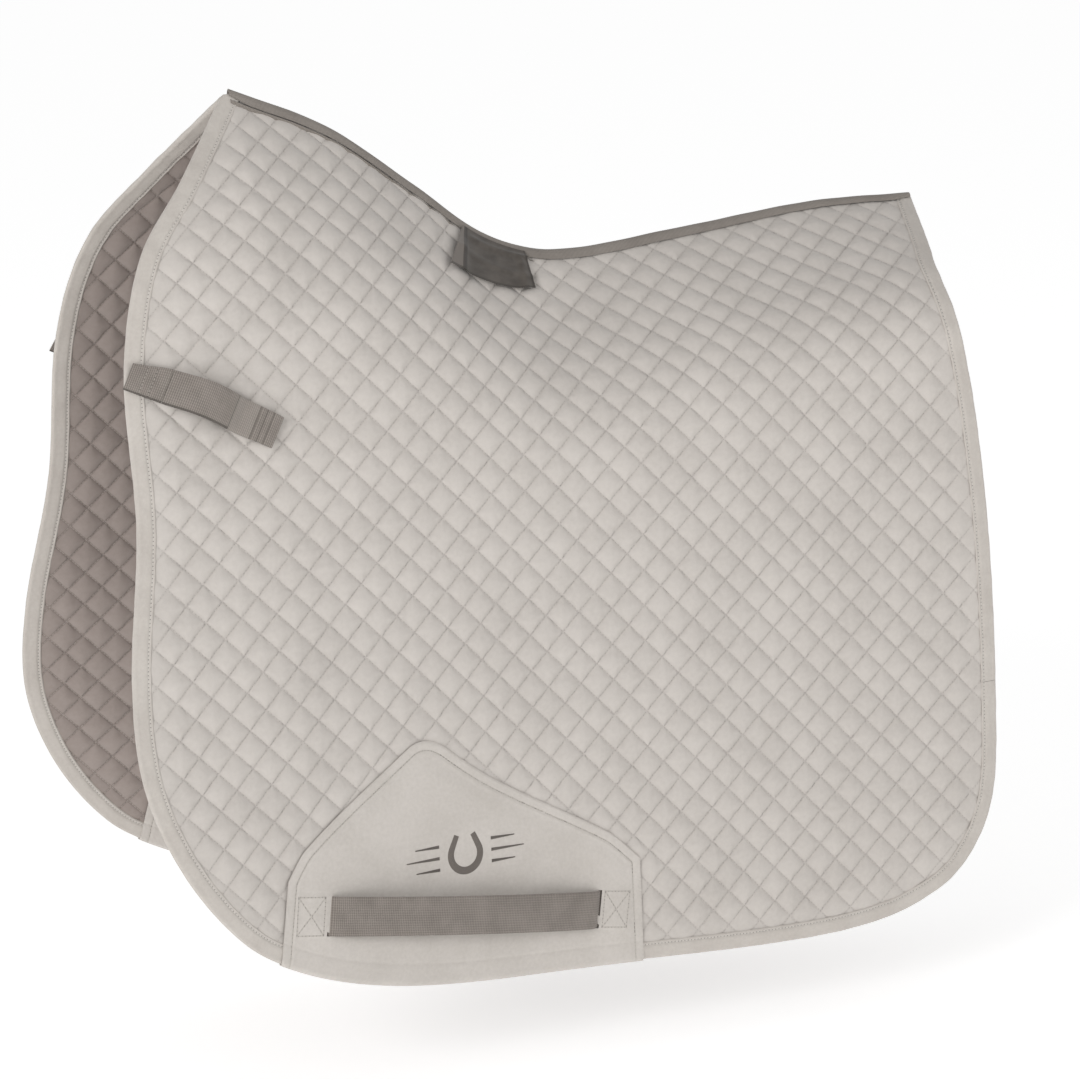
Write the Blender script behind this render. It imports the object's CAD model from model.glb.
import math

import bpy
import numpy as np
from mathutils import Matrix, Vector, kdtree


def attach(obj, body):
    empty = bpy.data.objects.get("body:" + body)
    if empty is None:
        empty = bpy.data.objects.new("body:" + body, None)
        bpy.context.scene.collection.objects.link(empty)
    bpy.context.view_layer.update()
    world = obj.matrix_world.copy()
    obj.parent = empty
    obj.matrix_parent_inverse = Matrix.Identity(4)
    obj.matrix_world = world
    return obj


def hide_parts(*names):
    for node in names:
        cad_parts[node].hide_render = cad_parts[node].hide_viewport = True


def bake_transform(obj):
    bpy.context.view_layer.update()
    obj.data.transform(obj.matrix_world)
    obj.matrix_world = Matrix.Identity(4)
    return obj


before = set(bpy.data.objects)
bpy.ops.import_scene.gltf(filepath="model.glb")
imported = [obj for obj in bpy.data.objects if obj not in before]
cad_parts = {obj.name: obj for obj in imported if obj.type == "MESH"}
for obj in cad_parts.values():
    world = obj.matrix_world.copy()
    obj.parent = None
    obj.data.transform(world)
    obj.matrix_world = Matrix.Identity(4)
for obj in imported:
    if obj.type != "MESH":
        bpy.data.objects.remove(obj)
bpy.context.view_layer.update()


# ---- Studio --------------------------------------------------------------------------------------
# A wide pale floor under the pad, a soft white surround, one large soft light in front of the near
# side, and a long lens at the level of a person who stands beside the horse.

TARGET = Vector((-0.0109, 0, -0.221))
CAMERA_PLACE = Vector((-1.15768, -2.70565, 0.39260))
LENS = 123.2
FLOOR_LEVEL = -0.62
FLOOR_SIZE = 80
SURROUND_LIGHT = 0.5

bpy.ops.object.select_all(action="DESELECT")
bpy.ops.object.camera_add(location=CAMERA_PLACE)
camera = bpy.context.object
camera.rotation_euler = (TARGET - CAMERA_PLACE).to_track_quat("-Z", "Y").to_euler()
camera.data.lens = LENS
camera.data.sensor_width = 36
bpy.context.scene.camera = camera
bpy.context.scene.view_settings.view_transform = "Standard"

world = bpy.data.worlds.new("surround")
world.use_nodes = True
world.node_tree.nodes["Background"].inputs["Color"].default_value = (1, 1, 1, 1)
world.node_tree.nodes["Background"].inputs["Strength"].default_value = SURROUND_LIGHT
bpy.context.scene.world = world


def soft_light(name, place, size, power):
    bpy.ops.object.light_add(type="AREA", location=place)
    light = bpy.context.object
    light.name = name
    light.rotation_euler = (TARGET - Vector(place)).to_track_quat("-Z", "Y").to_euler()
    light.data.shape = "SQUARE"
    light.data.size = size
    light.data.energy = power


soft_light("front_light", (-3.0, -2.6, 1.3), 1.2, 62)
soft_light("fill_light", (2.6, -3.0, 0.4), 2.0, 14)

bpy.ops.mesh.primitive_plane_add(size=FLOOR_SIZE, location=(0, 0, FLOOR_LEVEL))
floor = bpy.context.object
floor.name = "floor"
floor_paint = bpy.data.materials.new("floor_paint")
floor_paint.use_nodes = True
paint = floor_paint.node_tree.nodes["Principled BSDF"].inputs
paint["Base Color"].default_value = (0.9, 0.9, 0.9, 1)
paint["Roughness"].default_value = 1
paint["Specular IOR Level"].default_value = 0
paint["Emission Color"].default_value = (1, 1, 1, 1)
paint["Emission Strength"].default_value = 0.53
floor.data.materials.append(floor_paint)


# ---- The horse's back ----------------------------------------------------------------------------
# The form that the pad lies on. Cloth is cut flat, in cloth coordinates: `along` runs level from
# front to rear, `up` runs up the cloth from a level line, and `out` is the height above the outer
# face of the quilting. drape() lays such points over the form.

MM = 0.001
RIDGE = [(-270, 153), (-190, 121), (-120, 74), (-60, 32), (0, 16), (110, 28), (230, 44), (322, 47)]
FORM_START = -400
FORM_LENGTH = 733
ROOF_ANGLE = (37, 45, 62)  # from the vertical, in degrees: at the front, the middle and the rear
SKIRT_ANGLE = (14, 4.6, 1.3)
BEND_RADIUS = (395, 150, 80)
ROOF_LENGTH = (38, 99, 85)
LEVEL_LINE = -475
MITRE = 0.6
SIDES = {"near": -1, "off": 1}


def curve_value(points, x):
    """Height at x on the smooth curve through the points."""
    xs, ys = np.array(points, float).T
    before = np.maximum(np.arange(len(xs)) - 1, 0)
    after = np.minimum(np.arange(len(xs)) + 1, len(xs) - 1)
    slope = (ys[after] - ys[before]) / (xs[after] - xs[before])
    i = np.clip(np.searchsorted(xs, x) - 1, 0, len(xs) - 2)
    span = xs[i + 1] - xs[i]
    t = np.clip((x - xs[i]) / span, 0, 1)
    rise = ys[i] * (1 + 2 * t) * (1 - t) ** 2 + ys[i + 1] * t * t * (3 - 2 * t)
    return rise + span * t * (1 - t) * (slope[i] * (1 - t) - slope[i + 1] * t)


def along_form(values, along):
    front, middle, rear = values
    t = np.clip((along - FORM_START) / FORM_LENGTH, 0, 1)
    return front + (4 * middle - 3 * front - rear) * t + 2 * (front - 2 * middle + rear) * t * t


def section(along):
    """The cross-section: roof and skirt angles, bend radius, roof length, ridge height, and `up`
    at the ridge."""
    roof = np.radians(along_form(ROOF_ANGLE, along))
    skirt = np.radians(along_form(SKIRT_ANGLE, along))
    radius = along_form(BEND_RADIUS, along)
    length = along_form(ROOF_LENGTH, along)
    ridge = curve_value(RIDGE, along)
    skirt_top = ridge - length * np.cos(roof) - radius * (np.sin(roof) - np.sin(skirt))
    top = length + radius * (roof - skirt) + (skirt_top - LEVEL_LINE) / np.cos(skirt)
    return roof, skirt, radius, length, ridge, top


def ridge_up(along):
    return section(along)[-1]


def drape(side, along, up, out):
    """Places of points given in cloth coordinates (mm), in metres."""
    along = np.asarray(along, float)
    roof, skirt, radius, length, ridge, top = section(along)
    mitre = (np.maximum(-out, 0) * np.cos(roof) + MITRE) / np.sin(roof)
    down = np.maximum(top - up, mitre)
    on_roof = np.minimum(down, length)
    angle = np.clip(roof - (down - length) / radius, skirt, roof)
    on_skirt = np.maximum(down - length - radius * (roof - skirt), 0)
    turn = radius * (np.cos(angle) - np.cos(roof))
    drop = radius * (np.sin(roof) - np.sin(angle))
    y = on_roof * np.sin(roof) + turn + on_skirt * np.sin(skirt) + out * np.cos(angle)
    z = ridge - on_roof * np.cos(roof) - drop - on_skirt * np.cos(skirt) + out * np.sin(angle)
    return np.stack([along, side * y, z], -1) * MM


# ---- The cut -------------------------------------------------------------------------------------
# Both sides are cut to one outline, from the withers down the front, along the bottom and up the
# rear. The girth patch is cut to a second outline on the bottom edge.

OUTLINE = [
    (-270, 665), (-321, 585), (-363, 523), (-383, 440), (-384, 325), (-398, 216), (-397, 140),
    (-376, 77), (-341, 24), (-300, -10), (-227, -38), (-129, -54), (20, -62), (139, -66),
    (219, -63), (275, -50), (318, -22), (344, 34), (345, 130), (337, 250), (323, 354),
    (306, 436), (302, 480), (310, 520), (322, 580),
]
PATCH_SPANS = (9, 12)  # the patch's ends on the outline, counted in its points
PATCH_TOP = [(0, 58), (0.07, 86), (0.45, 178), (0.52, 185), (0.59, 178), (0.93, 106), (1, 82)]
PATCH_LEAN = (0.17, -0.02)


def outline_point(t):
    """Point t of the outline, counted in its points, on a smooth curve through them."""
    points = np.array(OUTLINE, float)
    i = np.clip(np.floor(t).astype(int), 0, len(points) - 2)
    f = (t - i)[..., None]
    a, b = points[i], points[i + 1]
    start = (b - points[np.maximum(i - 1, 0)]) / 2
    end = (points[np.minimum(i + 2, len(points) - 1)] - a) / 2
    return a + start * f + (3 * (b - a) - 2 * start - end) * f**2 + (2 * (a - b) + start + end) * f**3


EDGE_T = np.linspace(0, len(OUTLINE) - 1, 1201)
EDGE_POINTS = outline_point(EDGE_T)
EDGE_STEP = np.hypot(*np.diff(EDGE_POINTS, axis=0).T)
EDGE_RUN = np.concatenate([[0], np.cumsum(EDGE_STEP)])


def edge_point(run, inwards):
    """The point on the cloth that lies `inwards` of the edge, `run` mm along it."""
    t = np.interp(run, EDGE_RUN, EDGE_T)
    reach = 0.15
    ahead = outline_point(np.minimum(t + reach, len(OUTLINE) - 1))
    behind = outline_point(np.maximum(t - reach, 0))
    way = ahead - behind
    way /= np.hypot(way[..., 0], way[..., 1])[..., None]
    point = outline_point(t)
    return point[..., 0] - way[..., 1] * inwards, point[..., 1] + way[..., 0] * inwards


def patch_point(across, height):
    """Point of the girth patch, `across` from 0 at its front end to 1 at its rear end."""
    t = PATCH_SPANS[0] + (PATCH_SPANS[1] - PATCH_SPANS[0]) * across
    base = outline_point(t)
    lean = PATCH_LEAN[0] + (PATCH_LEAN[1] - PATCH_LEAN[0]) * across
    return base[..., 0] + lean * height, base[..., 1] + height


def tree_of(points):
    tree = kdtree.KDTree(len(points))
    for k, (x, y) in enumerate(points):
        tree.insert((x, y, 0), k)
    tree.balance()
    return tree


def distance_to(tree, x, y):
    return np.array([tree.find((a, b, 0))[2] for a, b in zip(x.ravel(), y.ravel())]).reshape(x.shape)


def inside(points, x, y):
    """True for the points within a closed outline."""
    found = np.zeros(x.shape, bool)
    for (ax, ay), (bx, by) in zip(points, np.roll(points, -1, axis=0)):
        crosses = (ay > y) != (by > y)
        if ay != by:
            found ^= crosses & (x < (bx - ax) * (y - ay) / (by - ay) + ax)
    return found


def smooth_step(x):
    x = np.clip(x, 0, 1)
    return x * x * (3 - 2 * x)


ridge_along = np.linspace(OUTLINE[-1][0], OUTLINE[0][0], 200)
RIDGE_LINE = np.stack([ridge_along, ridge_up(ridge_along)], -1)
SIDE_CUT = np.concatenate([EDGE_POINTS, RIDGE_LINE])

patch_across = np.linspace(0, 1, 121)
patch_rise = np.linspace(0, 1, 30)
PATCH_CUT = np.concatenate([
    np.stack(patch_point(patch_across, 0 * patch_across), -1),
    np.stack(patch_point(np.ones(30), PATCH_TOP[-1][1] * patch_rise), -1),
    np.stack(patch_point(patch_across, curve_value(PATCH_TOP, patch_across)), -1)[::-1],
    np.stack(patch_point(np.zeros(30), PATCH_TOP[0][1] * patch_rise), -1)[::-1],
])
EDGE_TREE = tree_of(EDGE_POINTS)
PATCH_TREE = tree_of(PATCH_CUT[121:])
PATCH_RUN = np.concatenate([[0], np.cumsum(np.hypot(*np.diff(PATCH_CUT, axis=0).T))])


# ---- Quilting ------------------------------------------------------------------------------------
# Cotton, foam and lining are stitched together in 20 mm squares that stand on their corners. Each
# square fills out between its seams, and the seams are pressed flat along the edges and the patch.

SQUARE = 20
STOPS = np.array([0, 0.045, 0.15, 0.31, 0.5, 0.69, 0.85, 0.955])
SWATCH = 4  # squares each way in the sewn sample
PUFF = 3.0
PUFF_CROWN = 1.3  # above 1, a square rises more gently from its seams
PINCHED_PUFF = 0.2  # what is left of the puff where the quilting is sewn down
SEAM_LEVEL = -3.3
MIDDLE = -5
CELLS = len(STOPS)
NET_REACH = 45  # squares each way from the net's middle
NET_LEVEL = 250  # where the net's middle lies up the cloth
EDGE_PRESS = (9, 22)  # pressed flat up to the first from an edge, and freed over the second
RIDGE_PRESS = (8, 16)
LAYER_GAP = 0.4  # between the cover's back and the lining's


def sewn_sample():
    """Sews a small quilt of SWATCH squares and lets it fill out. Returns each point's shift in
    squares, with the seams' points held where they are."""
    cells = SWATCH * CELLS
    bpy.ops.mesh.primitive_grid_add(x_subdivisions=cells, y_subdivisions=cells, size=SWATCH)
    sample = bpy.context.object
    mesh = sample.data
    places = np.empty(3 * len(mesh.vertices))
    mesh.vertices.foreach_get("co", places)
    places = places.reshape(-1, 3)
    steps = np.rint((places[:, :2] / SWATCH + 0.5) * cells).astype(int)
    lines = np.concatenate([(np.arange(SWATCH)[:, None] + STOPS).ravel(), [SWATCH]])
    flat = np.concatenate([lines[steps], np.zeros((len(steps), 1))], 1)
    seam = (steps % CELLS == 0).any(1)
    # a little unevenness, so that no two squares fill out alike
    rng = np.random.default_rng(7)
    start = flat + np.where(seam[:, None], 0, rng.normal(0, 0.012, flat.shape)) + [0, 0, 0.02]
    start[:, 2] = np.where(seam, 0, start[:, 2])
    mesh.vertices.foreach_set("co", start.ravel())
    held = sample.vertex_groups.new(name="seams")
    held.add([int(k) for k in np.flatnonzero(seam)], 1, "REPLACE")
    cloth = sample.modifiers.new("filling", "CLOTH")
    cloth.settings.quality = 8
    cloth.settings.mass = 0.2
    cloth.settings.tension_stiffness = 18
    cloth.settings.compression_stiffness = 18
    cloth.settings.shear_stiffness = 8
    cloth.settings.bending_stiffness = 0.12
    cloth.settings.vertex_group_mass = "seams"
    cloth.settings.shrink_min = -0.07
    cloth.settings.use_pressure = True
    cloth.settings.uniform_pressure_force = 3.5
    cloth.settings.effector_weights.gravity = 0
    scene = bpy.context.scene
    for step in range(1, 26):
        scene.frame_set(step)
    filled = sample.evaluated_get(bpy.context.evaluated_depsgraph_get()).data
    after = np.empty(3 * len(filled.vertices))
    filled.vertices.foreach_get("co", after)
    scene.frame_set(1)
    shift = after.reshape(-1, 3) - flat
    bpy.data.objects.remove(sample)
    table = np.zeros((cells + 1, cells + 1, 3))
    table[steps[:, 0], steps[:, 1]] = shift
    table[..., 2] /= np.percentile(table[..., 2], 97)
    return table


sample = sewn_sample()


def quilt_net():
    """The net of points of one side's quilting: cloth coordinates, shifts and which cells are
    within the cut."""
    squares = np.arange(-NET_REACH, NET_REACH)
    lines = (squares[:, None] + STOPS).ravel()
    p, q = np.meshgrid(lines, lines, indexing="ij")
    p_step, q_step = np.meshgrid(np.arange(len(lines)), np.arange(len(lines)), indexing="ij")
    rng = np.random.default_rng(11)
    pick = rng.integers(0, SWATCH, (2, len(squares), len(squares)))
    row = pick[0][p_step // CELLS, q_step // CELLS] * CELLS + p_step % CELLS
    column = pick[1][p_step // CELLS, q_step // CELLS] * CELLS + q_step % CELLS
    shift = sample[row, column]
    along = (p - q + shift[..., 0] - shift[..., 1]) * SQUARE / math.sqrt(2)
    up = (p + q + shift[..., 0] + shift[..., 1]) * SQUARE / math.sqrt(2) + NET_LEVEL
    point_in = inside(SIDE_CUT, along, up)
    cell_in = point_in[:-1, :-1] & point_in[1:, :-1] & point_in[:-1, 1:] & point_in[1:, 1:]
    for _ in range(6):
        # a cell that hangs by a corner or by one side is cut off
        around = np.pad(cell_in, 1).astype(int)
        beside = around[:-2, 1:-1] + around[2:, 1:-1] + around[1:-1, :-2] + around[1:-1, 2:]
        cell_in &= beside >= 2
    puff = np.clip(shift[..., 2], 0, None) ** PUFF_CROWN
    return along, up, puff, cell_in


def pressed(along, up):
    """How flat the quilting is sewn down, from 0 to 1: along the binding and under the patch."""
    edge = 1 - smooth_step((distance_to(EDGE_TREE, along, up) - EDGE_PRESS[0]) / EDGE_PRESS[1])
    ridge = 0.8 * (1 - smooth_step((ridge_up(along) - up - RIDGE_PRESS[0]) / RIDGE_PRESS[1]))
    patch = distance_to(PATCH_TREE, along, up)
    patch = np.where(inside(PATCH_CUT, along, up), 1, 1 - smooth_step((patch + 1) / 9))
    return np.maximum(np.maximum(edge, patch), ridge)


NET_ALONG, NET_UP, NET_PUFF, NET_CELLS = quilt_net()
USED = np.zeros(NET_ALONG.shape, bool)
for di in (0, 1):
    for dj in (0, 1):
        rows, columns = np.nonzero(NET_CELLS)
        USED[rows + di, columns + dj] = True
USED_ALONG, USED_UP, USED_PUFF = NET_ALONG[USED], NET_UP[USED], NET_PUFF[USED]
USED_PRESS = pressed(USED_ALONG, USED_UP)
PUFF_LEVEL = SEAM_LEVEL + PUFF * USED_PUFF * (1 - (1 - PINCHED_PUFF) * USED_PRESS)


def quilted_half(name, side, face_level, back_level):
    """One closed half of the quilting, from its puffed face to its flat back."""
    number = np.full(NET_ALONG.shape, -1)
    number[USED] = np.arange(USED.sum())
    count = int(USED.sum())
    i, j = np.nonzero(NET_CELLS)
    corners = np.stack([number[i, j], number[i + 1, j], number[i + 1, j + 1], number[i, j + 1]], -1)
    faces = [corners, corners[:, ::-1] + count]
    sides = (
        (NET_CELLS & ~np.roll(NET_CELLS, 1, 1), (0, 0), (1, 0)),
        (NET_CELLS & ~np.roll(NET_CELLS, -1, 0), (1, 0), (1, 1)),
        (NET_CELLS & ~np.roll(NET_CELLS, -1, 1), (1, 1), (0, 1)),
        (NET_CELLS & ~np.roll(NET_CELLS, 1, 0), (0, 1), (0, 0)),
    )
    for open_cells, first, second in sides:
        i, j = np.nonzero(open_cells)
        a = number[i + first[0], j + first[1]]
        b = number[i + second[0], j + second[1]]
        faces.append(np.stack([b, a, a + count, b + count], -1))
    faces = np.concatenate(faces)
    outwards = face_level.mean() > back_level.mean()
    # the faces were wound for a near side whose puffed face points out
    if outwards != (side < 0):
        faces = faces[:, ::-1]
    places = np.concatenate([
        drape(side, USED_ALONG, USED_UP, face_level),
        drape(side, USED_ALONG, USED_UP, back_level),
    ])
    mesh = bpy.data.meshes.new(name)
    mesh.from_pydata(places, [], faces.tolist())
    uv = mesh.uv_layers.new(name="cloth")
    flat = np.tile(np.stack([USED_ALONG, USED_UP], -1) * MM, (2, 1))
    index = np.empty(len(mesh.loops), int)
    mesh.loops.foreach_get("vertex_index", index)
    uv.data.foreach_set("uv", flat[index].ravel())
    mesh.shade_smooth()
    piece = bpy.data.objects.new(name, mesh)
    bpy.context.collection.objects.link(piece)
    return piece


class Wire:
    """A socket in a finish. Sums on it add Math nodes, and node() adds any other node."""

    def __init__(self, socket):
        self.socket = socket

    def node(self, kind, settings, inputs, output=0):
        tree = self.socket.id_data
        made = tree.nodes.new(kind)
        for name, value in settings.items():
            if name == "stops":
                ramp = made.color_ramp.elements
                while len(ramp) < len(value):
                    ramp.new(0.5)
                for element, (place, colour) in zip(ramp, value):
                    element.position = place
                    element.color = colour
            else:
                setattr(made, name, value)
        for name, value in inputs.items():
            if isinstance(value, Wire):
                tree.links.new(value.socket, made.inputs[name])
            else:
                made.inputs[name].default_value = value
        return Wire(made.outputs[output])

    def sum(self, operation, *values):
        return self.node("ShaderNodeMath", {"operation": operation}, dict(enumerate(values)))

    def __add__(self, other):
        return self.sum("ADD", self, other)

    def __radd__(self, other):
        return self.sum("ADD", other, self)

    def __sub__(self, other):
        return self.sum("SUBTRACT", self, other)

    def __rsub__(self, other):
        return self.sum("SUBTRACT", other, self)

    def __mul__(self, other):
        return self.sum("MULTIPLY", self, other)

    def __rmul__(self, other):
        return self.sum("MULTIPLY", other, self)

    def __truediv__(self, other):
        return self.sum("DIVIDE", self, other)

    def __lt__(self, other):
        return self.sum("LESS_THAN", self, other)

    def __gt__(self, other):
        return self.sum("GREATER_THAN", self, other)

    def size(self):
        return self.sum("ABSOLUTE", self)

    def wave(self):
        return self.sum("SINE", self * (2 * math.pi))

    def off_line(self):
        """Distance to the nearest whole number."""
        return self.sum("ABSOLUTE", self - self.sum("ROUND", self))

    def band(self, start, end):
        """1 between two values, with soft edges a tenth as wide as the band."""
        soft = (end - start) / 10
        span = {"From Min": start - soft, "From Max": start + soft}
        rise = self.node("ShaderNodeMapRange", {}, {"Value": self, **span})
        span = {"From Min": end - soft, "From Max": end + soft}
        return rise - self.node("ShaderNodeMapRange", {}, {"Value": self, **span})

    def fade(self, start, end):
        """0 up to the start and 1 past the end."""
        span = {"From Min": start, "From Max": end}
        return self.node("ShaderNodeMapRange", {"interpolation_type": "SMOOTHSTEP"}, {"Value": self, **span})

    def tint(self, first, second):
        """The first colour where this is 0 and the second where it is 1."""
        settings = {"data_type": "RGBA"}
        return self.node("ShaderNodeMix", settings, {0: self, 6: first, 7: second}, 2)


def colour(red, green, blue):
    """A colour for a shader, from its 0 to 255 values on a screen."""
    return tuple(((v / 255 + 0.055) / 1.055) ** 2.4 for v in (red, green, blue)) + (1,)


def new_finish(name, roughness, sheen):
    """A cloth finish: its material, and wires for the cloth's two directions in mm."""
    material = bpy.data.materials.new(name)
    material.use_nodes = True
    tree = material.node_tree
    shader = tree.nodes["Principled BSDF"].inputs
    shader["Roughness"].default_value = roughness
    shader["Sheen Weight"].default_value = sheen
    shader["Sheen Roughness"].default_value = 0.5
    shader["Specular IOR Level"].default_value = 0.25
    place = tree.nodes.new("ShaderNodeUVMap")
    place.uv_map = "cloth"
    cloth = Wire(place.outputs[0])
    parts = cloth.node("ShaderNodeSeparateXYZ", {}, {0: cloth})
    x = parts
    y = Wire(parts.socket.node.outputs[1])
    return material, cloth, x * 1000, y * 1000


def mottling(cloth, size, detail):
    """Slow unevenness of the cloth's shade, from 0 to 1, with patches of `size` mm."""
    inputs = {"Vector": cloth, "Scale": 1000 / size, "Detail": detail, "Roughness": 0.6}
    return cloth.node("ShaderNodeTexNoise", {}, inputs)


def apply_finish(material, base, height, depth, roughness=None):
    """Joins a colour and a height of `depth` mm to the material's shader."""
    tree = material.node_tree
    shader = tree.nodes["Principled BSDF"].inputs
    tree.links.new(base.socket, shader["Base Color"])
    bump = height.node("ShaderNodeBump", {}, {"Height": height, "Distance": depth * MM, "Strength": 1})
    tree.links.new(bump.socket, shader["Normal"])
    if roughness:
        tree.links.new(roughness.socket, shader["Roughness"])


def twill(x, y, pitch):
    """Height of a twill weave, from 0 to 1: fine ribs on the slant, broken into threads."""
    rib = ((x + y) / pitch).wave() * 0.5 + 0.5
    thread = ((x - y) / (pitch * 1.7)).wave() * 0.5 + 0.5
    return rib * 0.7 + rib * thread * 0.3


STITCH = 3.0  # mm from stitch to stitch


def stitches(run, off, width=0.8):
    """Thread on a seam, as (thread, hole): `run` mm along the seam and `off` mm beside it."""
    step = (run / STITCH).off_line()
    line = off.size() < width / 2
    return line * (step < 0.36), line * (step > 0.4)


def quilting_finish(name, light, dark, thread_colour, soiled):
    """Woven cotton, quilted: the seams' thread lies in the valleys, `soiled` as dark as that."""
    material, cloth, x, y = new_finish(name, 0.92, 0.25)
    p = (x + (y - NET_LEVEL)) / (SQUARE * math.sqrt(2))
    q = ((y - NET_LEVEL) - x) / (SQUARE * math.sqrt(2))
    one, one_hole = stitches(q * SQUARE, p.off_line() * SQUARE, 0.6)
    two, two_hole = stitches(p * SQUARE, q.off_line() * SQUARE, 0.6)
    thread = one.sum("MAXIMUM", one, two)
    hole = one.sum("MAXIMUM", one_hole, two_hole)
    valley = p.off_line().sum("MINIMUM", p.off_line(), q.off_line())
    soil = 1 - valley.fade(0.0, 0.08)
    shade = mottling(cloth, 60, 3) * 0.5 + mottling(cloth, 4, 2) * 0.3 + soil * soiled
    base = shade.fade(0.15, 0.95).tint(light, dark)
    base = thread.tint(base, thread_colour)
    base = hole.tint(base, dark)
    height = twill(x, y, 1.1) * 0.22 + thread * 0.6 - hole * 0.3 + mottling(cloth, 3.5, 3) * 0.35
    apply_finish(material, base, height, 0.25)
    return material


COTTON = colour(201, 195, 189)
COTTON_DARK = colour(172, 166, 160)
quilted_cotton = quilting_finish("quilted_cotton", COTTON, COTTON_DARK, colour(195, 189, 183), 0.06)
quilted_lining = quilting_finish(
    "quilted_lining", colour(160, 149, 143), colour(132, 121, 115), colour(166, 157, 150), 0.3
)


def bend_at_spine(piece):
    """Lets a piece bend below the spine when its side of the pad is lifted."""
    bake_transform(piece)


for name, side in SIDES.items():
    back = np.full(USED_PRESS.shape, MIDDLE + 0.2)
    cover = quilted_half(f"{name}_quilted_cover", side, PUFF_LEVEL, back)
    cover.data.materials.append(quilted_cotton)
    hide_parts(f"{name}_quilted_shell", f"{name}_foam_filling")
    bend_at_spine(cover)

    inner_face = 2 * MIDDLE - PUFF_LEVEL
    lining = quilted_half(f"{name}_quilted_lining", side, inner_face, back - LAYER_GAP)
    lining.data.materials.append(quilted_lining)
    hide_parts(f"{name}_lining")
    bend_at_spine(lining)


# ---- Binding -------------------------------------------------------------------------------------
# A cotton tape folded round the raw edge of each side and sewn through near both its own edges. The
# front length runs from the withers to just past the lower rear corner, where the rear one starts.

BINDING_WIDTH = 12
BINDING_THICKNESS = 0.9
FOLD_RADIUS = 2.6
BINDING_SEAM = 9.6  # from the edge
JOIN_POINT = 18


def cut_cloth(name, columns, rows):
    """A flat piece, 1 by 1, ready to be shaped: x and y run from 0 to 1."""
    bpy.ops.object.select_all(action="DESELECT")
    bpy.ops.mesh.primitive_grid_add(x_subdivisions=columns, y_subdivisions=rows, size=1)
    piece = bpy.context.object
    piece.name = name
    piece.data.name = name
    piece.data.uv_layers[0].name = "cloth"
    return piece


def shape_cloth(piece, where, size, thickness, turned=False, bevel=0.0, own_places=None):
    """Moves each point of a flat piece to where(x, y), with its UV map in metres of cloth, and
    gives it thickness behind that face. own_places writes a piece's own UV maps instead."""
    mesh = piece.data
    flat = np.empty(3 * len(mesh.vertices))
    mesh.vertices.foreach_get("co", flat)
    flat = flat.reshape(-1, 3)[:, :2] + 0.5
    mesh.vertices.foreach_set("co", where(flat[:, 0], flat[:, 1]).ravel())
    index = np.empty(len(mesh.loops), int)
    mesh.loops.foreach_get("vertex_index", index)
    cloth = flat * np.array(size) * MM
    mesh.uv_layers["cloth"].data.foreach_set("uv", cloth[index].ravel())
    if own_places:
        own_places(mesh)
    if turned:
        mesh.flip_normals()
    bpy.ops.object.select_all(action="DESELECT")
    piece.select_set(True)
    bpy.context.view_layer.objects.active = piece
    solid = piece.modifiers.new("thickness", "SOLIDIFY")
    solid.thickness = thickness * MM
    solid.offset = -1
    solid.use_even_offset = False
    bpy.ops.object.modifier_apply(modifier="thickness")
    if bevel:
        soft = piece.modifiers.new("soft_edges", "BEVEL")
        soft.width = bevel * MM
        soft.segments = 2
        soft.limit_method = "ANGLE"
        soft.angle_limit = math.radians(50)
        bpy.ops.object.modifier_apply(modifier="soft_edges")
    bpy.ops.object.shade_smooth_by_angle(angle=math.radians(50))


def binding_fold(y, wave):
    """Section of the binding: how far inwards and out it is, y mm across the tape."""
    half_turn = math.pi * FOLD_RADIUS
    over = BINDING_WIDTH - y
    under = y - BINDING_WIDTH - half_turn
    turn = np.clip((y - BINDING_WIDTH) / FOLD_RADIUS, 0, math.pi)
    inwards = np.where(over > 0, over, np.where(under > 0, under, -FOLD_RADIUS * np.sin(turn)))
    # the flanges: a groove at the seam and a fuller hem beyond it
    reach = np.maximum(inwards, 0)
    groove = np.exp(-(((reach - BINDING_SEAM) / 0.9) ** 2))
    rise = 0.75 * smooth_step(reach / 7) - 0.75 * groove + 0.25 * wave
    rise -= 0.8 * smooth_step((reach - BINDING_WIDTH + 1.2) / 1.2)
    out = MIDDLE + FOLD_RADIUS * np.cos(turn) + np.sign(np.cos(turn)) * rise
    return inwards, out


def bind_edge(name, side, start, end):
    width = 2 * BINDING_WIDTH + math.pi * FOLD_RADIUS
    length = end - start
    tape = cut_cloth(name, int(length / 3), 36)

    def where(x, y):
        run = start + length * x
        wave = np.sin(run / 3.1) * np.sin(run / 11.7 + 1) + 0.6 * np.sin(run / 5.3 + y * 9)
        inwards, out = binding_fold(y * width, wave)
        along, up = edge_point(run, inwards)
        return drape(side, along, up, out)

    shape_cloth(tape, where, (length, width), BINDING_THICKNESS, side < 0)
    tape.data.materials.append(binding_tape)
    return tape


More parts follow.
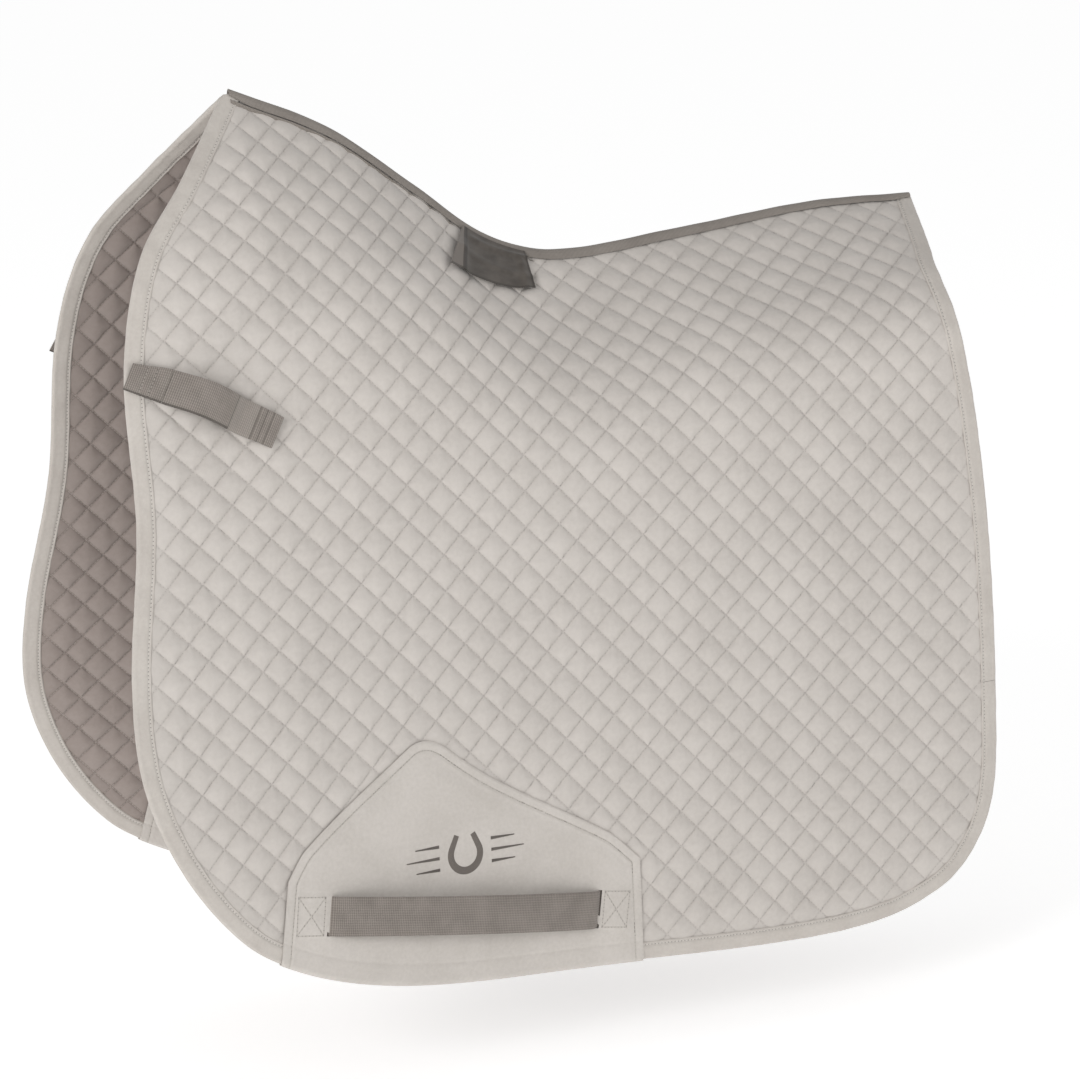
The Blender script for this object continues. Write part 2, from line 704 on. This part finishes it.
def binding_finish():
    """Cotton tape with two rows of stitching, one near each edge."""
    material, cloth, x, y = new_finish("binding_tape", 0.9, 0.25)
    width = 2 * BINDING_WIDTH + math.pi * FOLD_RADIUS
    seam = BINDING_WIDTH - BINDING_SEAM
    upper, upper_hole = stitches(x, y - seam)
    lower, lower_hole = stitches(x, y - (width - seam))
    thread = upper + lower
    hole = upper_hole + lower_hole
    shade = mottling(cloth, 45, 3) * 0.6 + mottling(cloth, 3, 2) * 0.4
    base = shade.fade(0.2, 0.8).tint(colour(200, 194, 187), colour(183, 176, 169))
    base = hole.tint(thread.tint(base, colour(208, 203, 196)), colour(140, 133, 127))
    pucker = (x / 6).wave() * (1 - (y - seam).size().fade(0, 4)) * 0.3
    height = twill(x, y, 1.0) * 0.25 + thread - hole * 0.5 + pucker + mottling(cloth, 4, 2) * 0.5
    apply_finish(material, base, height, 0.3)
    return material


binding_tape = binding_finish()
join_run = float(np.interp(JOIN_POINT, EDGE_T, EDGE_RUN))
for name, side in SIDES.items():
    front = bind_edge(f"{name}_front_edge_binding", side, 0, join_run)
    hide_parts(f"{name}_front_binding")
    bend_at_spine(front)
    rear = bind_edge(f"{name}_rear_edge_binding", side, join_run + 0.3, EDGE_RUN[-1])
    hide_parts(f"{name}_rear_binding")
    bend_at_spine(rear)


# ---- Spine tapes ---------------------------------------------------------------------------------
# A ribbed tape covers the seam where the two sides are sewn together along the spine, and a wider
# one covers it on the inside. Both are sewn down along their edges.

SPINE_HALF_WIDTH = 9.5
SPINE_INNER_HALF_WIDTH = 22
SPINE_TAPE_OUT = 1.2
SPINE_TAPE_HUG = 2.0  # how far its edges are drawn down to the quilting
SPINE_INNER_OUT = -11.2
RIDGE_ROUNDING = 1.3
SPINE_END_TURN = 14  # length over which a tape narrows at its ends


def ridge_place(along, across, out):
    """A place over the ridge, `across` mm to the off side of the centre line."""
    roof, skirt, radius, length, ridge, top = section(along)
    reach = np.sqrt(across**2 + RIDGE_ROUNDING**2)
    lean = across / reach
    y = across * np.sin(roof) + out * np.cos(roof) * lean
    z = ridge - reach * np.cos(roof) + out * np.sin(roof)
    return np.stack([along, y, z], -1) * MM


RIDGE_LENGTH = float(np.hypot(*np.diff(np.stack([ridge_along, curve_value(RIDGE, ridge_along)]))).sum())


def spine_strip(name, half_width, out, drawn_in):
    """A ribbon over the ridge, drawn in by a share of its width at the rear."""
    length = OUTLINE[-1][0] - OUTLINE[0][0]
    strip = cut_cloth(name, int(length / 4), 16)

    def where(x, y):
        along = OUTLINE[0][0] + length * x
        end = np.minimum(along - OUTLINE[0][0], OUTLINE[-1][0] - along)
        narrowing = 1 - 0.3 * np.sqrt(1 - smooth_step(end / SPINE_END_TURN))
        narrowing *= 1 - drawn_in * smooth_step((along - 60) / 250)
        across = half_width * (2 * y - 1) * narrowing
        hem = np.exp(-(((np.abs(across) - half_width + 2.2) / 0.8) ** 2))
        level = out - math.copysign(0.35, out) * hem + 0.12 * np.sin(along / 6.1)
        level -= math.copysign(SPINE_TAPE_HUG, out) * np.abs(2 * y - 1) ** 3
        return ridge_place(along, across, level)

    shape_cloth(strip, where, (length, 2 * half_width), 0.9)
    strip.data.materials.append(spine_ribbon)
    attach(strip, "spine")
    return strip


def ribbon_finish():
    """Grosgrain ribbon: fine ribs across it and a row of stitching at each edge."""
    material, cloth, x, y = new_finish("spine_ribbon", 0.7, 0.15)
    rib = (x / 1.1).wave() * 0.5 + 0.5
    shade = mottling(cloth, 30, 3) * 0.5 + rib * 0.35
    base = shade.fade(0.1, 0.8).tint(colour(150, 143, 136), colour(116, 109, 103))
    apply_finish(material, base, rib + mottling(cloth, 2, 2) * 0.4, 0.18)
    return material


spine_ribbon = ribbon_finish()
outer = spine_strip("spine_outer_ribbon", SPINE_HALF_WIDTH, SPINE_TAPE_OUT, 0.3)
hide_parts("spine_tape")
inner = spine_strip("spine_inside_ribbon", SPINE_INNER_HALF_WIDTH, SPINE_INNER_OUT, 0)
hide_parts("spine_inner_tape")


# ---- Girth patches -------------------------------------------------------------------------------
# A patch of smooth cotton on each side takes the girth's rubbing. Its edge is turned under and sewn,
# it is folded round the bottom edge over the binding, and two slits let the girth strap through.

PATCH_TURNED_IN = 34
PATCH_FOLD_RADIUS = 4.0
PATCH_THICKNESS = 0.8
PATCH_BODY = 0.5
HEM_SEAM = 7.2
STRAP_START = (-258, 17)  # the front slit, on the girth strap's centre line
STRAP_ANGLE = -8.1
STRAP_LENGTH = 240  # from slit to slit
STRAP_WIDTH = 30
SLIT_WIDTH = 3.4
SLIT_ROOM = 0.3
BOX_REACH = (4.5, 27)  # the stitched box beyond each slit
BOX_HALF = 14.5


def on_line(start, angle, reach, across):
    """Cloth coordinates on a strap's own line: `reach` along it and `across` it."""
    turn = math.radians(angle)
    along = start[0] + reach * math.cos(turn) - across * math.sin(turn)
    up = start[1] + reach * math.sin(turn) + across * math.cos(turn)
    return along, up


def strap_frame(start, angle, along, up):
    """How far along a strap and across it a place on the cloth is."""
    turn = math.radians(angle)
    x, y = along - start[0], up - start[1]
    return x * math.cos(turn) + y * math.sin(turn), y * math.cos(turn) - x * math.sin(turn)


def patch_level(height, hem, along, up):
    """Height of the patch's face: flat over the binding, fuller above, pressed in at its hem."""
    body = smooth_step((hem - HEM_SEAM) / 17) * smooth_step((height - 13) / 22)
    level = -1.6 + 0.95 * np.sqrt(np.clip(hem / 1.1, 0, 1))
    level -= 0.6 * np.exp(-(((hem - HEM_SEAM) / 0.8) ** 2))
    level += 0.25 * np.exp(-(((hem - HEM_SEAM - 2.3) / 1.1) ** 2))
    level -= 0.45 * np.exp(-(((height - 13.2) / 1.1) ** 2))
    level += (PATCH_BODY + 0.8) * body
    reach, across = strap_frame(STRAP_START, STRAP_ANGLE, along, up)
    beyond = np.abs(reach - STRAP_LENGTH / 2) - STRAP_LENGTH / 2
    over_webbing = smooth_step((beyond + 3) / 2) * (1 - smooth_step((beyond - BOX_REACH[1]) / 3))
    over_webbing = over_webbing * (1 - smooth_step((np.abs(across) - BOX_HALF) / 2.5))
    slack = 0.16 * np.sin(along / 14 + 0.8 * np.sin(up / 19)) + 0.1 * np.sin(up / 9 + along / 31)
    return level + 0.5 * over_webbing + slack * body


def girth_patch(name, side):
    patch = cut_cloth(name, 170, 150)
    fold = math.pi * PATCH_FOLD_RADIUS
    below = PATCH_TURNED_IN + fold
    hems = {}

    def where(x, y):
        top = curve_value(PATCH_TOP, x)
        run = (below + top) * y - below
        turn = np.clip(-run / PATCH_FOLD_RADIUS, 0, math.pi)
        height = np.where(run > 0, run, np.where(run < -fold, -run - fold, 0))
        along, up = patch_point(x, height)
        hem = distance_to(PATCH_TREE, along, up)
        hem = np.where(run < -fold, np.minimum(hem, PATCH_TURNED_IN - height), hem)
        hem = np.where(y >= 1, 0, hem)
        found = [PATCH_TREE.find((a, b, 0))[1] for a, b in zip(along, up)]
        hems["run"], hems["hem"] = PATCH_RUN[121:][found], hem
        hems["cloth"] = np.stack([along, patch_point(x, 0 * x)[1] + run], -1)
        level = patch_level(height, hem, along, up) - MIDDLE - PATCH_FOLD_RADIUS
        past = -PATCH_FOLD_RADIUS * np.sin(turn)
        around = MIDDLE + (PATCH_FOLD_RADIUS + level) * np.cos(turn)
        along, up = patch_point(x, height + past)
        return drape(side, along, up, around)

    def own_places(mesh):
        index = np.empty(len(mesh.loops), int)
        mesh.loops.foreach_get("vertex_index", index)
        mesh.uv_layers["cloth"].data.foreach_set("uv", (hems["cloth"][index] * MM).ravel())
        seams = mesh.uv_layers.new(name="hem")
        hem_places = np.stack([hems["run"], hems["hem"]], -1) * MM
        seams.data.foreach_set("uv", hem_places[index].ravel())

    shape_cloth(patch, where, (1, 1), PATCH_THICKNESS, side > 0, own_places=own_places)
    for middle in (0, STRAP_LENGTH):
        bpy.ops.object.select_all(action="DESELECT")
        bpy.ops.mesh.primitive_cube_add(size=1)
        slit = bpy.context.object
        for vertex in slit.data.vertices:
            x, y, z = vertex.co
            along, up = on_line(STRAP_START, STRAP_ANGLE, middle + SLIT_WIDTH * x,
                                (STRAP_WIDTH + 2 * SLIT_ROOM) * y)
            vertex.co = drape(side, along, up, -0.2 + 2.4 * z)
        if side > 0:
            slit.data.flip_normals()
        cut = patch.modifiers.new("slit", "BOOLEAN")
        cut.operation = "DIFFERENCE"
        cut.object = slit
        bpy.context.view_layer.objects.active = patch
        bpy.ops.object.modifier_apply(modifier="slit")
        bpy.data.objects.remove(slit)
    patch.data.materials.append(patch_cotton)
    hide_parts(f"{name.split('_')[0]}_girth_patch")
    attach(patch, f"{name.split('_')[0]}_flap")


def patch_finish():
    """Close plain cotton, sewn along its hem and in a crossed box over the hidden webbing."""
    material, cloth, x, y = new_finish("patch_cotton", 0.88, 0.2)
    tree = material.node_tree
    place = tree.nodes.new("ShaderNodeUVMap")
    place.uv_map = "hem"
    parts = Wire(place.outputs[0]).node("ShaderNodeSeparateXYZ", {}, {0: Wire(place.outputs[0])})
    run, hem = parts * 1000, Wire(parts.socket.node.outputs[1]) * 1000
    turn = math.radians(STRAP_ANGLE)
    dx, dy = x - STRAP_START[0], y - STRAP_START[1]
    reach = dx * math.cos(turn) + dy * math.sin(turn)
    across = (dy * math.cos(turn) - dx * math.sin(turn)).size()
    beyond = (reach - STRAP_LENGTH / 2).size() - STRAP_LENGTH / 2
    box = (beyond > BOX_REACH[0] - 0.4) * (beyond < BOX_REACH[1] + 0.4) * (across < BOX_HALF + 0.4)
    middle = sum(BOX_REACH) / 2
    steepness = BOX_HALF / (BOX_REACH[1] - middle)
    off_middle = (beyond - middle).size()
    end_seam, end_hole = stitches(across, off_middle - (BOX_REACH[1] - middle), 0.9)
    side_seam, side_hole = stitches(beyond, across - BOX_HALF, 0.9)
    cross, cross_hole = stitches(beyond * 1.5, across - off_middle * steepness, 1.4)
    hem_seam, hem_hole = stitches(run, hem - HEM_SEAM, 0.8)
    boxed = cross.sum("MAXIMUM", cross, end_seam + side_seam) * box
    thread = boxed.sum("MAXIMUM", boxed, hem_seam)
    hole = cross_hole.sum("MAXIMUM", cross_hole, end_hole + side_hole) * box
    hole = hole.sum("MAXIMUM", hole, hem_hole)
    shade = mottling(cloth, 50, 3) * 0.6 + mottling(cloth, 3, 2) * 0.4
    base = shade.fade(0.2, 0.8).tint(colour(205, 199, 193), colour(188, 182, 175))
    base = hole.tint(thread.tint(base, colour(188, 182, 174)), colour(150, 144, 138))
    weave = (x / 0.9).wave() * (y / 0.9).wave()
    height = weave * 0.15 + thread * 0.8 - hole * 0.6 + mottling(cloth, 6, 3) * 0.8
    apply_finish(material, base, height, 0.3)
    return material


patch_cotton = patch_finish()
for name, side in SIDES.items():
    girth_patch(f"{name}_girth_wear_patch", side)


# ---- Badge ---------------------------------------------------------------------------------------
# A plain horseshoe between two pairs of bars, embroidered on the near patch in darker satin stitch.

BADGE_MIDDLE = (-137, 45)
SHOE_RADIUS = 13
SHOE_BRANCH = 11  # straight part of each branch
SHOE_WIDTH = 6
BADGE_THREAD_HEIGHT = 0.55
BAR_START = 23
BAR_LENGTHS = (29, 21)
BAR_SPACING = 9
BAR_WIDTH = 2.6


def shoe_line(t):
    """The horseshoe's centre line, its direction, and how far along it t is."""
    bend = math.radians(230)
    arc = bend * SHOE_RADIUS
    total = arc + 2 * SHOE_BRANCH
    run = total * t
    angle = (np.clip(run - SHOE_BRANCH, 0, arc) / arc - 0.5) * bend
    past = np.where(run < SHOE_BRANCH, run - SHOE_BRANCH, np.maximum(run - SHOE_BRANCH - arc, 0))
    x = -SHOE_RADIUS * np.sin(angle) - np.cos(angle) * past
    y = -SHOE_RADIUS * np.cos(angle) + np.sin(angle) * past
    return x, y, -np.sin(angle), -np.cos(angle), run


def stitch_badge(name, columns, line, width):
    ribbon = cut_cloth(name, columns, 6)

    def where(x, y):
        px, py, nx, ny, run = line(x)
        across = width(x) * (y - 0.5)
        along = BADGE_MIDDLE[0] + px + nx * across
        up = BADGE_MIDDLE[1] + py + ny * across
        height = distance_to(EDGE_TREE, along, up)
        level = patch_level(height, np.full(along.shape, 60.0), along, up)
        round_edge = np.sqrt(np.maximum(1 - (2 * y - 1) ** 2, 0)) * np.minimum(1, 8 * np.sin(math.pi * x))
        return drape(-1, along, up, level + 0.05 + BADGE_THREAD_HEIGHT * round_edge)

    shape_cloth(ribbon, where, (60, 6), 0.45, name.startswith("badge_front"))
    ribbon.data.materials.append(badge_thread)
    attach(ribbon, "near_flap")


def badge_finish():
    """Satin-stitched thread: glossy strands across the line."""
    material, cloth, x, y = new_finish("badge_thread", 0.45, 0.1)
    strand = ((x * 2.2) + y * 0.25).wave() * 0.5 + 0.5
    base = strand.tint(colour(96, 89, 84), colour(128, 121, 114))
    apply_finish(material, base, strand, 0.15)
    return material


badge_thread = badge_finish()
stitch_badge("badge_horseshoe", 90, shoe_line, lambda t: SHOE_WIDTH * (0.75 + 0.25 * np.sin(math.pi * t)))
for way in (-1, 1):
    for row, bar_length in enumerate(BAR_LENGTHS):
        for level in ((row,) if row == 0 else (-row, row)):

            def bar_line(t):
                x = way * (BAR_START + bar_length * t)
                return x, BAR_SPACING * level + 0 * t, 0 * t, 1 + 0 * t, bar_length * t

            side_name = "front" if way < 0 else "rear"
            bar_name = f"badge_{side_name}_bar_{level + 2}"
            stitch_badge(bar_name, 30, bar_line, lambda t: BAR_WIDTH * (1 - 0.7 * t))


# ---- Girth straps --------------------------------------------------------------------------------
# Ribbed webbing that comes out of one slit of the patch and goes back in at the other, standing off
# far enough for the girth to run under it. Its ends are sewn between the patch and the quilting.

WEBBING = 1.5
STRAP_BOW = 16.3
STRAP_TAIL = 11
TAIL_LEVEL = -0.7


def webbing_finish():
    """Polypropylene webbing: ribs across it, broken by the warp, with firm woven edges."""
    material, cloth, x, y = new_finish("strap_webbing", 0.62, 0.12)
    rib = (x / 1.5).wave() * 0.5 + 0.5
    warp = (y / 1.9).wave() * 0.5 + 0.5
    shade = rib * 0.35 + warp * 0.2 + mottling(cloth, 18, 4) * 0.6
    base = shade.fade(0.25, 0.9).tint(colour(146, 138, 131), colour(112, 105, 99))
    height = rib * 0.8 + warp * 0.35 + mottling(cloth, 1.2, 2) * 0.3
    apply_finish(material, base, height, 0.3)
    return material


def girth_strap_level(reach):
    t = np.clip(reach / STRAP_LENGTH, 0, 1)
    inner = np.minimum(reach, STRAP_LENGTH - reach)
    lift = TAIL_LEVEL + 3.2 * smooth_step((inner + 3) / 8)
    return lift + STRAP_BOW * np.abs(np.sin(math.pi * t)) ** 0.6


def girth_strap(name, side):
    strap = cut_cloth(name, 150, 12)
    length = STRAP_LENGTH + 2 * STRAP_TAIL

    def where(x, y):
        reach = length * x - STRAP_TAIL
        across = STRAP_WIDTH * (y - 0.5)
        along, up = on_line(STRAP_START, STRAP_ANGLE, reach, across)
        curl = 0.35 * np.abs(2 * y - 1) ** 3
        sway = 0.5 * np.sin(reach / 41) * (2 * y - 1) * smooth_step(reach / 60)
        return drape(side, along, up, girth_strap_level(reach) - curl + sway)

    shape_cloth(strap, where, (length, STRAP_WIDTH), WEBBING, side > 0, bevel=0.4)
    side_name = name.split("_")[0]
    finish_strap(strap, strap_webbing, f"{side_name}_girth_strap", f"{side_name}_flap")


def finish_strap(piece, material, node, body):
    piece.data.materials.append(material)
    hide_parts(node)
    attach(piece, body)


strap_webbing = webbing_finish()
for name, side in SIDES.items():
    girth_strap(f"{name}_girth_webbing", side)


# ---- Billet straps -------------------------------------------------------------------------------
# A strap of webbing holds the saddle's girth billet. One end is sewn down over the front binding, the
# other lifts off and closes with hook tape on a strip of loop tape, and its pull end is doubled.

BILLET_START = (-383, 441)
BILLET_ANGLE = -27.2
BILLET_WIDTH = 25
BILLET_SEWN_LENGTH = 30
BILLET_HINGE_GAP = 0.2
BILLET_HOOK_START = 92
BILLET_LENGTH = 122
BILLET_BOW = 13
BILLET_LOW = 0.5  # height of its underside where it is sewn down
BILLET_HIGH = 3.1  # at the hinge
CLOSED_LEVEL = 3.7
HEM_START = 103
HEM_RIDGES = (105.5, 111, 116.5)
LOOP_TAPE = (84, 121.5)
HOOK_TAPE = (94, 120)
PALE_STRETCH = (83, 103)


def billet_level(reach):
    """Height of the strap's underside over the quilting."""
    sewn = BILLET_LOW + (BILLET_HIGH - BILLET_LOW) * smooth_step((reach - 14) / 17)
    sewn -= 1.1 * (1 - smooth_step(reach / 12))
    t = np.clip((reach - BILLET_SEWN_LENGTH) / (BILLET_HOOK_START - BILLET_SEWN_LENGTH), 0, 1)
    bow = BILLET_HIGH + (CLOSED_LEVEL - BILLET_HIGH) * t + BILLET_BOW * np.sin(math.pi * t) ** 1.3
    return np.where(reach < BILLET_SEWN_LENGTH, sewn, bow)


def billet_piece(name, side, span, level, thickness, columns, width=BILLET_WIDTH):
    """A stretch of the strap or of its tapes, from span[0] to span[1] along it."""
    strap = cut_cloth(name, columns, 10)
    length = span[1] - span[0]

    def where(x, y):
        reach = span[0] + length * x
        belly = 2.5 * np.sin(math.pi * np.clip(reach / BILLET_LENGTH, 0, 1))
        across = width * (y - 0.5) + y * (belly - 4 * (1 - smooth_step(reach / 30)))
        along, up = on_line(BILLET_START, BILLET_ANGLE, reach, across)
        return drape(side, along, up, level(reach, y) + thickness)

    shape_cloth(strap, where, (length, width), thickness, side > 0, bevel=0.35)
    return strap


def strap_face(reach, y):
    rim = 0.3 * np.abs(2 * y - 1) ** 3
    hem = sum(np.exp(-(((reach - ridge) / 1.7) ** 2)) for ridge in HEM_RIDGES)
    doubled = 1.1 * smooth_step((reach - HEM_START) / 1.2)
    return billet_level(reach) - rim + doubled + 0.8 * hem


def billet_finish(name, start):
    """The same webbing for the stretch that begins at `start`: sewn down at its fixed end, lighter
    over the tape, and dark in the furrows of its hem and along its lower selvedge."""
    material, cloth, x, y = new_finish(name, 0.62, 0.12)
    x = x + start
    rib = (x / 1.5).wave() * 0.5 + 0.5
    warp = (y / 1.9).wave() * 0.5 + 0.5
    first, first_hole = stitches(y, x - 12)
    second, second_hole = stitches(y, x - 19)
    thread = first + second
    hole = first_hole + second_hole
    shade = rib * 0.4 + warp * 0.15 + mottling(cloth, 18, 4) * 0.6
    base = shade.fade(0.25, 0.9).tint(colour(150, 142, 135), colour(112, 105, 99))
    base = (x.band(*PALE_STRETCH) * 0.3).tint(base, colour(168, 161, 154))
    base = thread.tint(base, colour(158, 150, 143))
    base = hole.tint(base, colour(96, 90, 84))
    furrow = (x - PALE_STRETCH[0]).size() < 0.6
    for ridge in HEM_RIDGES:
        furrow = furrow + ((x - ridge + 2.6).size() < 0.6)
    base = (furrow * 0.6).tint(base, colour(92, 86, 80))
    selvedge = (y < 1.6) * (x < PALE_STRETCH[0])
    base = (selvedge * 0.75).tint(base, colour(74, 69, 64))
    height = rib * 0.8 + warp * 0.3 + thread - hole * 0.5
    apply_finish(material, base, height, 0.3)
    return material


def nap_finish(name, light, dark, grain):
    """The fuzzy face of hook or loop tape."""
    material, cloth, x, y = new_finish(name, 0.95, 0.4)
    nap = mottling(cloth, grain, 4)
    apply_finish(material, nap.fade(0.3, 0.75).tint(dark, light), nap, 0.5)
    return material


sewn_webbing = billet_finish("sewn_webbing", 0)
tab_webbing = billet_finish("tab_webbing", BILLET_SEWN_LENGTH + BILLET_HINGE_GAP)
loop_nap = nap_finish("loop_nap", colour(176, 170, 163), colour(146, 140, 133), 0.9)
hook_nap = nap_finish("hook_nap", colour(150, 143, 136), colour(112, 106, 100), 0.6)

for name, side in SIDES.items():
    sewn_span = (0, BILLET_SEWN_LENGTH)
    sewn_end = billet_piece(f"{name}_billet_sewn_webbing", side, sewn_span, strap_face, WEBBING, 24)
    finish_strap(sewn_end, sewn_webbing, f"{name}_billet_strap_sewn_end", f"{name}_flap")

    tab_span = (BILLET_SEWN_LENGTH + BILLET_HINGE_GAP, BILLET_LENGTH)
    tab = billet_piece(f"{name}_billet_tab_webbing", side, tab_span, strap_face, WEBBING, 90)
    finish_strap(tab, tab_webbing, f"{name}_billet_strap_tab", f"{name}_billet_tab")

    hook = billet_piece(
        f"{name}_billet_hook_strip", side, HOOK_TAPE, lambda reach, y: 2.35 + 0 * y, 1.2, 16, 23
    )
    finish_strap(hook, hook_nap, f"{name}_billet_hook_tape", f"{name}_billet_tab")

    loop = billet_piece(
        f"{name}_billet_loop_strip", side, LOOP_TAPE, lambda reach, y: 0.2 + 0 * y, 1.9, 24, 24
    )
    finish_strap(loop, loop_nap, f"{name}_billet_loop_tape", f"{name}_flap")


# ---- Label ---------------------------------------------------------------------------------------
# A dark satin label caught under the spine tape on the near side. It is left plain. Its front corner
# is bent away along a crease, and the rest hangs loose over the quilting.

LABEL_TOP = ((-80, 8), (-27, 7))  # its corners, front and rear: along, and down from the ridge
LABEL_FOOT = ((-107, 69), (-29, 45))
LABEL_SIZE = (66, 52)  # its mean width and length
LABEL_BEND = (9, 17)  # it bends between these, down from the ridge
LABEL_CREASE = (0.05, 0.16)  # where the crease crosses its top and foot, in its widths


def label_place(x, y):
    """Place of a point of the label, with its front corner bent away along the crease."""
    top = [LABEL_TOP[0][k] + (LABEL_TOP[1][k] - LABEL_TOP[0][k]) * x for k in (0, 1)]
    foot = [LABEL_FOOT[0][k] + (LABEL_FOOT[1][k] - LABEL_FOOT[0][k]) * x for k in (0, 1)]
    along = top[0] + (foot[0] - top[0]) * y
    down = top[1] + (foot[1] - top[1]) * y
    loose = smooth_step((y - 0.12) / 0.4)
    crease = LABEL_CREASE[0] + (LABEL_CREASE[1] - LABEL_CREASE[0]) * y
    lift = 2.5 + 0.9 * loose + 2.6 * loose * np.exp(-(((x - crease) / 0.05) ** 2))
    lift += 1.5 * loose * smooth_step((crease - x) / 0.1)
    lift += 1.7 * np.exp(-(((x - 0.9) / 0.05) ** 2)) * smooth_step((y - 0.1) / 0.2)
    lift += 1.5 * np.exp(-(((y - 0.17) / 0.07) ** 2)) * smooth_step(x / 0.2)
    lift += 0.8 * np.exp(-(((y - 0.5 - 0.2 * x) / 0.08) ** 2)) * loose
    lift += 0.4 * np.sin(along / 6.3 + down / 9) * loose
    return drape(-1, along, ridge_up(along) - down, lift)


def label_finish():
    """Satin ribbon: smooth and slightly glossy, with a paler back where the corner is bent."""
    material, cloth, x, y = new_finish("label_satin", 0.36, 0.1)
    across, fall = x * (1 / LABEL_SIZE[0]), y * (1 / LABEL_SIZE[1])
    past = across - LABEL_CREASE[0] - fall * (LABEL_CREASE[1] - LABEL_CREASE[0])
    shade = mottling(cloth, 14, 3)
    face = shade.fade(0.2, 0.8).tint(colour(98, 92, 86), colour(72, 67, 62))
    base = (past < 0).tint(face, colour(120, 113, 107))
    base = ((past.size() < 0.025) * 0.8).tint(base, colour(60, 56, 52))
    rim = (fall > 0.96).sum("MAXIMUM", fall > 0.96, across > 0.97)
    base = (rim * 0.6).tint(base, colour(58, 54, 50))
    height = ((x + y * 0.2) / 0.7).wave() * 0.3 + shade
    apply_finish(material, base, height, 0.12)
    return material


label_satin = label_finish()
label = cut_cloth("spine_satin_label", 110, 40)
shape_cloth(label, label_place, LABEL_SIZE, 0.5, True)
label.data.materials.append(label_satin)
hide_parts("spine_label")
corners = np.array([LABEL_TOP[0], LABEL_TOP[1], LABEL_FOOT[1], LABEL_FOOT[0]], float)
after = np.roll(corners, -1, axis=0)
label_area = abs((corners[:, 0] * after[:, 1] - after[:, 0] * corners[:, 1]).sum()) / 2
label_area * MM * MM
label_middle = (LABEL_TOP[0][0] + LABEL_TOP[1][0]) / 2
bend_start, bend_end = (
    tuple(drape(-1, label_middle, ridge_up(label_middle) - down, 2.5).tolist()) for down in LABEL_BEND
)
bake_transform(label)
